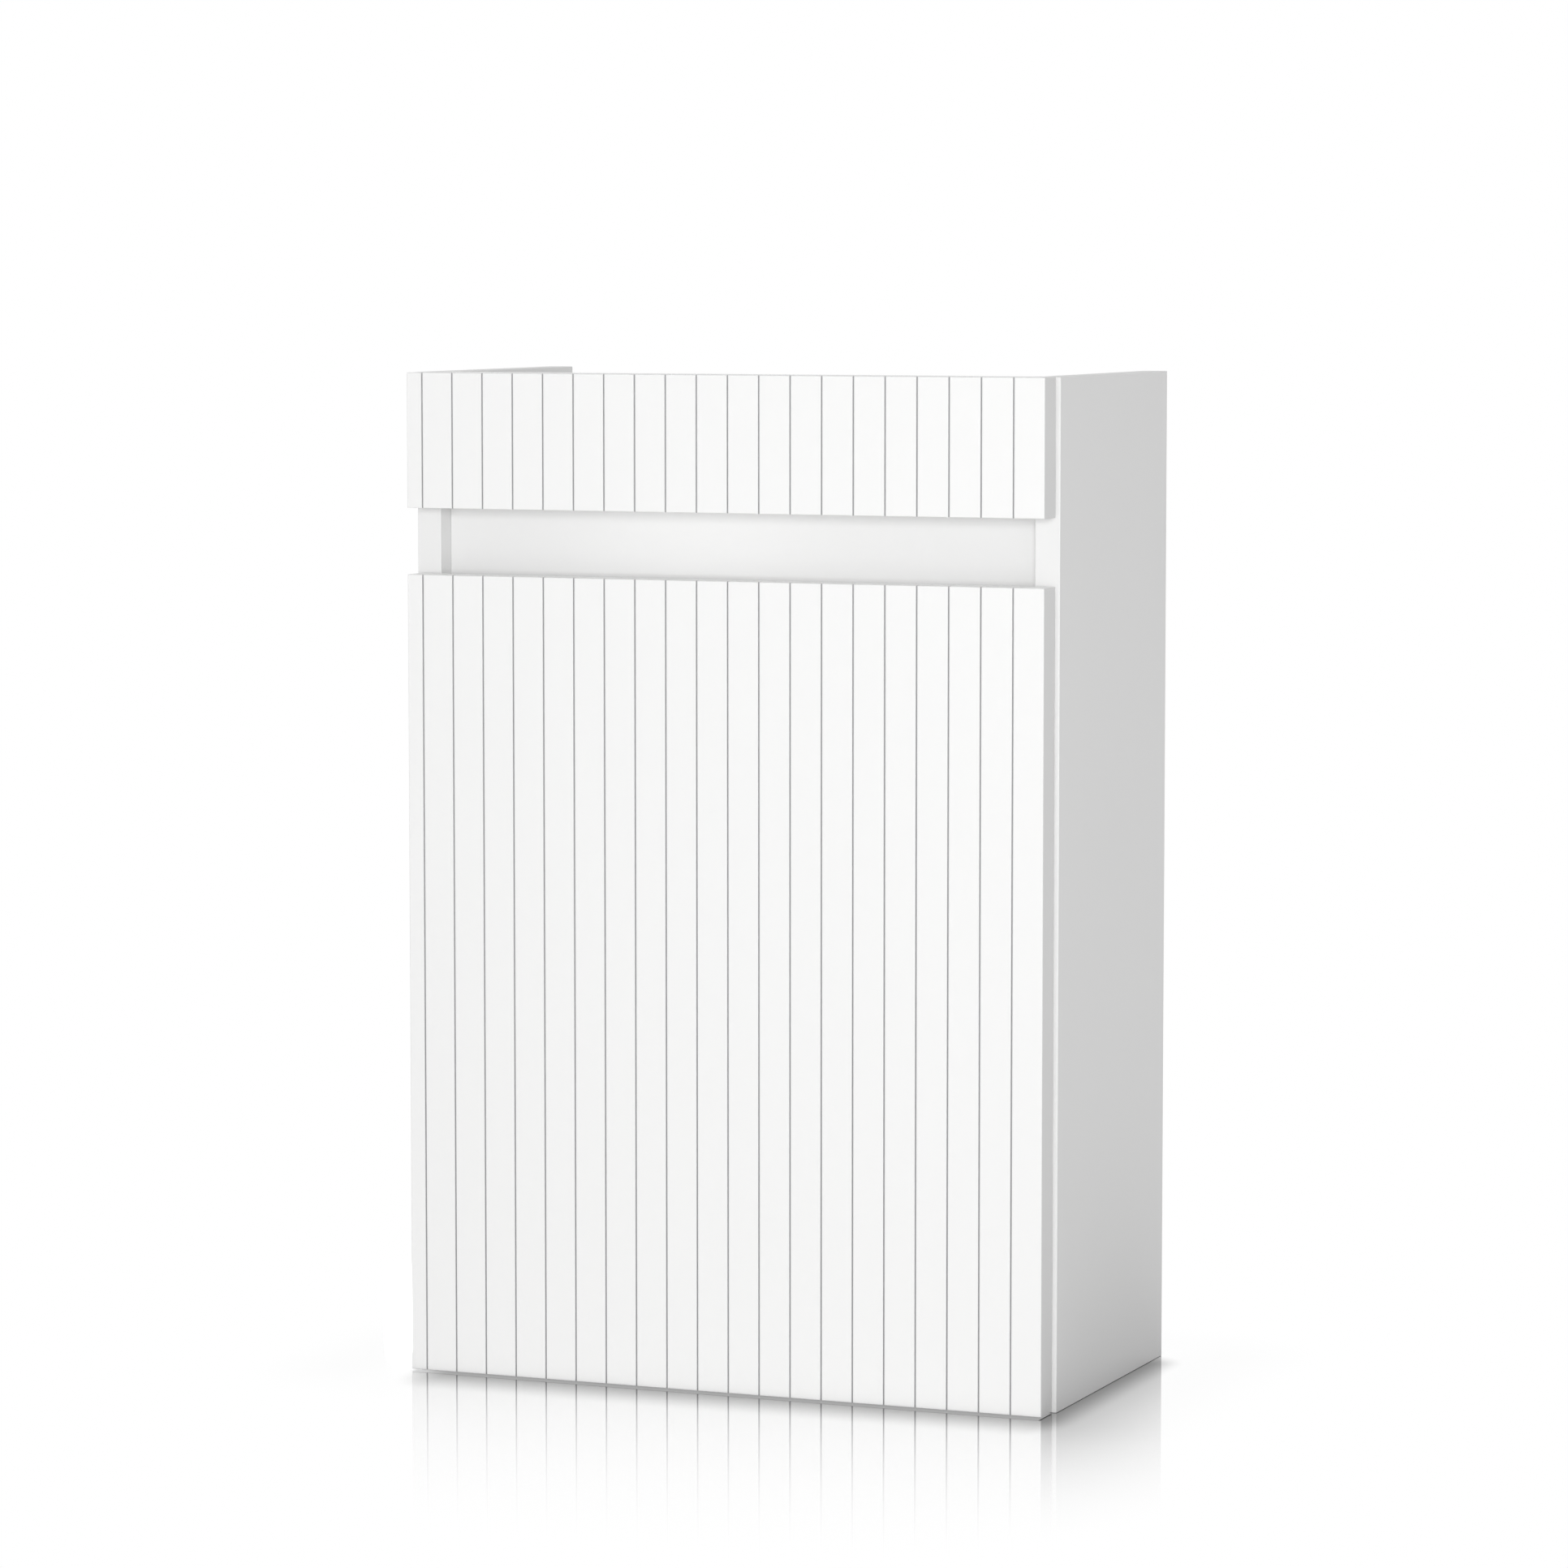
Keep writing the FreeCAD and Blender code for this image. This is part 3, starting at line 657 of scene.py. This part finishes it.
# Distance beyond the footprint, each side weighted by its stretch and drawn in by its inset
def outside(spots, stretch, insets=((0.0, 0.0), (0.0, 0.0))):
    beyond = []
    for spot, start, end, weights, inset in zip(spots, cadLow, cadHigh, stretch, insets):
        before = (start + inset[0] - spot) * weights[0]
        after = (spot - end + inset[1]) * weights[1]
        beyond.append(before.atLeast(after).atLeast(0.0))
    return spots[0].math("SQRT", beyond[0] * beyond[0] + beyond[1] * beyond[1])


def mirrorShare(start, spots):
    left = (1 - outside(spots, floor["mirrorStretch"]) * (1 / floor["mirrorReach"])).atLeast(0.0)
    afterFront = spots[1] > frontLow[1] - floor["slitBefore"]
    inSlit = afterFront * (spots[1] < frontHigh[1]) * (abs(spots[0]) < frontHigh[0])
    facing = start.add("ShaderNodeLayerWeight", out="Facing")
    share = left * left * floor["mirror"] * (1 - inSlit * (1 - floor["slitMirror"]))
    return share * facing.ramp(floor["steepView"], floor["lowView"])


def shownRays(start):  # 1 for what the eye, a shine or clear rubber looks at, 0 for what only carries light
    path = start.add("ShaderNodeLightPath").socket.node
    eyes, shines, clears = (
        Signal(start.tree, path.outputs[name])
        for name in ("Is Camera Ray", "Is Glossy Ray", "Is Transmission Ray"))
    return eyes.atLeast(shines).atLeast(clears)


def paintFloor(start):
    spots = start.add("ShaderNodeTexCoord", out="Object").axes()[:2]
    matt = start.add("ShaderNodeBsdfDiffuse", None, {"Color": grey(floor["bounce"])})
    paintedShadeMatt = start.add("ShaderNodeBsdfDiffuse", None, {"Color": grey(floor["bounceNear"])})
    white = start.add("ShaderNodeEmission", None, {"Color": grey(1.0)})
    shadowBlack = start.add("ShaderNodeEmission", None, {"Color": grey(0.0)})
    mirror = start.add("ShaderNodeBsdfGlossy", None, {
        "Color": grey(1.0), "Roughness": floor["mirrorRoughness"]})
    # near the foot the floor bounces less light: a painted shade on the cabinet's low faces
    bounce = outside(spots, floor["nearStretch"]).ramp(0.0, floor["nearReach"]).over(paintedShadeMatt, matt)
    lit = outside(spots, floor["shadowStretch"]).ramp(0.0, floor["shadowReach"])
    clear = outside(spots, floor["contactStretch"], floor["contactInset"]).ramp(0.0, floor["contactReach"])
    shadowed = ((1 - lit) * floor["shadowShare"]).over(white, matt)
    mirrored = mirrorShare(start, spots).over(shadowed, mirror)
    # painted contact shadow: the floor and its mirror image darken near the footprint
    seen = ((1 - clear) * (1 - floor["contactTone"])).over(mirrored, shadowBlack)
    start.add("ShaderNodeOutputMaterial", None, {"Surface": shownRays(start).over(bounce, seen)})


def makeFloor():
    half = floor["size"] / 2
    corners = [(-half, -half, 0), (half, -half, 0), (half, half, 0), (-half, half, 0)]
    mesh = bpy.data.meshes.new("studioFloor")
    mesh.from_pydata(corners, [], [range(len(corners))])
    plane = bpy.data.objects.new("studioFloor", mesh)
    scene.collection.objects.link(plane)
    material = bpy.data.materials.new("studioFloor")
    material.use_nodes = True
    material.node_tree.nodes.clear()
    paintFloor(Signal(material.node_tree))
    dress(plane, material)


makeFloor()

# Room: white to the eye and in mirrors, softer for what it lights
room = {"light": 0.54}


def makeRoom():
    world = bpy.data.worlds.new("studioRoom")
    scene.world = world
    world.use_nodes = True
    world.node_tree.nodes.clear()
    start = Signal(world.node_tree)
    shown = start.add("ShaderNodeBackground", None, {"Color": grey(1.0)})
    lighting = start.add("ShaderNodeBackground", None, {"Color": grey(room["light"])})
    start.add("ShaderNodeOutputWorld", None, {"Surface": shownRays(start).over(lighting, shown)})


makeRoom()

# Soft boxes, each with its place, the point it faces, its size and its power: the key light, a small one
# for the glint in the recess, and one behind that stays below the cabinet's top
softBoxes = {
    "keyBox": {"place": (1.00, -2.82, 0.72), "faces": (0.0, -0.1, 0.35), "size": 0.9, "power": 38.5},
    "glintBox": {"place": (-1.19, -2.83, 0.37), "faces": (-0.02, -0.07, 0.5), "size": 0.12, "power": 0.52},
    "rearBox": {"place": (-1.3, 2.7, 0.3), "faces": (0.0, 0.1, 0.3), "size": 0.5, "power": 15.0},
}

for boxName, box in softBoxes.items():
    lamp = bpy.data.lights.new(boxName, "AREA")
    lamp.shape = "SQUARE"
    lamp.size = box["size"]
    lamp.energy = box["power"]
    holder = bpy.data.objects.new(boxName, lamp)
    scene.collection.objects.link(holder)
    holder.location = box["place"]
    holder.rotation_euler = (Vector(box["faces"]) - holder.location).to_track_quat("-Z", "Y").to_euler()

# Camera at the photograph's angle: turned to see the right side, dipped a little
view = {"place": (1.2929, -3.2066, 0.6570), "turn": 21.993, "dip": 5.129, "lens": 134.73, "sensor": 36.0}
eye = bpy.data.cameras.new("photoCamera")
eye.lens = view["lens"]
eye.sensor_width = view["sensor"]
eyeHolder = bpy.data.objects.new("photoCamera", eye)
eyeHolder.location = view["place"]
eyeHolder.rotation_euler = (math.radians(90 - view["dip"]), 0.0, math.radians(view["turn"]))
scene.collection.objects.link(eyeHolder)
scene.camera = eyeHolder
print("stage, lights and camera set")
